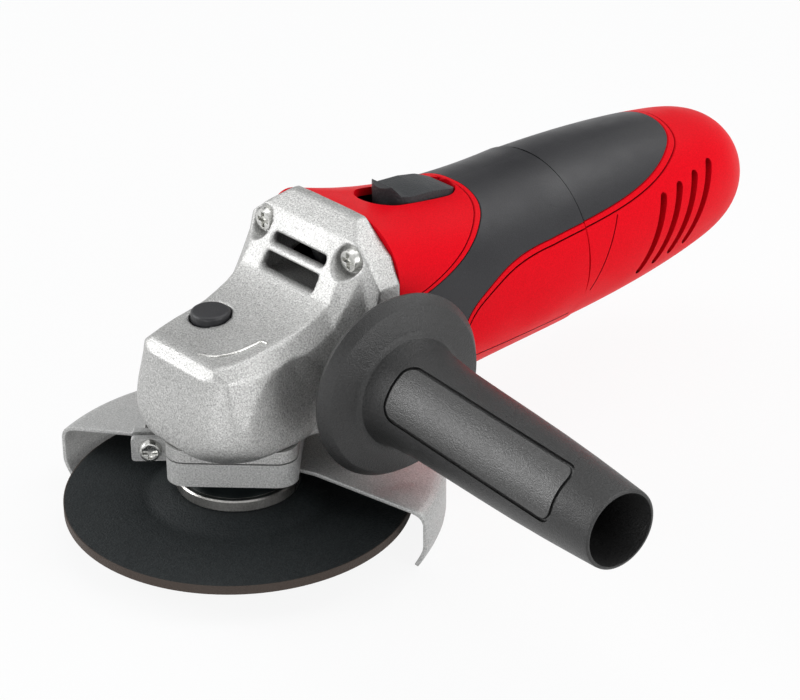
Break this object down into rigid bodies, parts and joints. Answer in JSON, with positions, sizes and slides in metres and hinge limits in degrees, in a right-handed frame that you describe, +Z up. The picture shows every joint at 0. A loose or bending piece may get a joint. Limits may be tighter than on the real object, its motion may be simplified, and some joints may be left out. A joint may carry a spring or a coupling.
{
  "type": "angle grinder",
  "caption": "Angle grinder with a red motor body, black grips, cast gear head, side handle, clamped guard and grinding disc on a geared spindle.",
  "frame": {"origin": "spindle axis at the clamp nut's lower face", "axes": "+Z up along the spindle, +Y along the motor to the tail, +X to the side handle"},
  "size_m": [0.2224, 0.2889, 0.104],
  "materials": {
    "casting": "speckled cast",
    "zinc": "bright zinc",
    "red_shell": "satin gloss",
    "soft_grip": "satin",
    "handle_black": "fine grain",
    "switch_black": "satin",
    "button_black": "satin",
    "gland_black": "matte",
    "guard_coat": "speckled silver coat",
    "bright_steel": "turned",
    "dark_steel": "blackened",
    "bearing_steel": "polished",
    "abrasive": "coarse grain",
    "bronze": "plain",
    "core_iron": "laminated",
    "copper": "varnished",
    "inner_plastic": "moulded",
    "carbon": "pressed carbon",
    "spring_steel": "bright"
  },
  "bodies": {
    "housing": {"gear_housing": "casting", "bearing_cover": "casting", "bearing_cover_screws": "zinc", "spindle_bearing": "bearing_steel", "dust_seal": "gland_black", "spindle_bush": "bronze", "gear_housing_screws": "zinc", "front_grip": "soft_grip", "rear_grip": "soft_grip", "motor_housing": "red_shell", "rear_cover": "red_shell", "cord_gland": "gland_black", "stator_core": "core_iron", "field_coils": "copper", "fan_baffle": "inner_plastic", "front_motor_bearing": "bearing_steel", "rear_motor_bearing": "bearing_steel", "bearing_sleeve": "gland_black", "bearing_bracket": "inner_plastic", "brush_holders": "inner_plastic", "carbon_brushes": "carbon", "brush_springs": "spring_steel", "switch_block": "inner_plastic", "side_handle": "handle_black", "handle_stud": "bright_steel", "lock_spring": "bright_steel"},
    "spindle": {"spindle": "bright_steel", "inner_flange": "bright_steel", "grinding_disc": "abrasive", "clamp_nut": "dark_steel", "crown_gear": "dark_steel"},
    "armature": {"armature_shaft": "bright_steel", "pinion": "dark_steel", "cooling_fan": "inner_plastic", "armature_core": "core_iron", "armature_windings": "copper", "commutator": "copper"},
    "lock": {"lock_button": "button_black", "lock_pin": "bright_steel"},
    "switch": {"switch_slider": "switch_black", "switch_rod": "inner_plastic"},
    "guard": {"guard_shell": "guard_coat", "guard_band": "guard_coat", "guard_screw": "zinc", "guard_nut": "zinc"}
  },
  "joints": [
    {"name": "spindle_spin", "type": "hinge", "parent": "housing", "child": "spindle", "pos_m": [0, 0, 0], "axis": [0, 0, 1], "continuous": true},
    {"name": "armature_spin", "type": "hinge", "parent": "housing", "child": "armature", "pos_m": [0, 0, 0.053], "axis": [0, 1, 0], "continuous": true},
    {"name": "lock_press", "type": "slide", "parent": "housing", "child": "lock", "axis": [0, 0, -1], "range_m": [0, 0.0045], "stiffness_N_per_m": 900, "springref_m": -0.002},
    {"name": "switch_slide", "type": "slide", "parent": "housing", "child": "switch", "axis": [0, -1, 0], "range_m": [0, 0.007]},
    {"name": "guard_swing", "type": "hinge", "parent": "housing", "child": "guard", "pos_m": [0, 0, 0.02], "axis": [0, 0, 1], "range_deg": [-90, 90]}
  ],
  "couplings": [
    {"joint": "armature_spin", "follows": "spindle_spin", "ratio": 3}
  ]
}
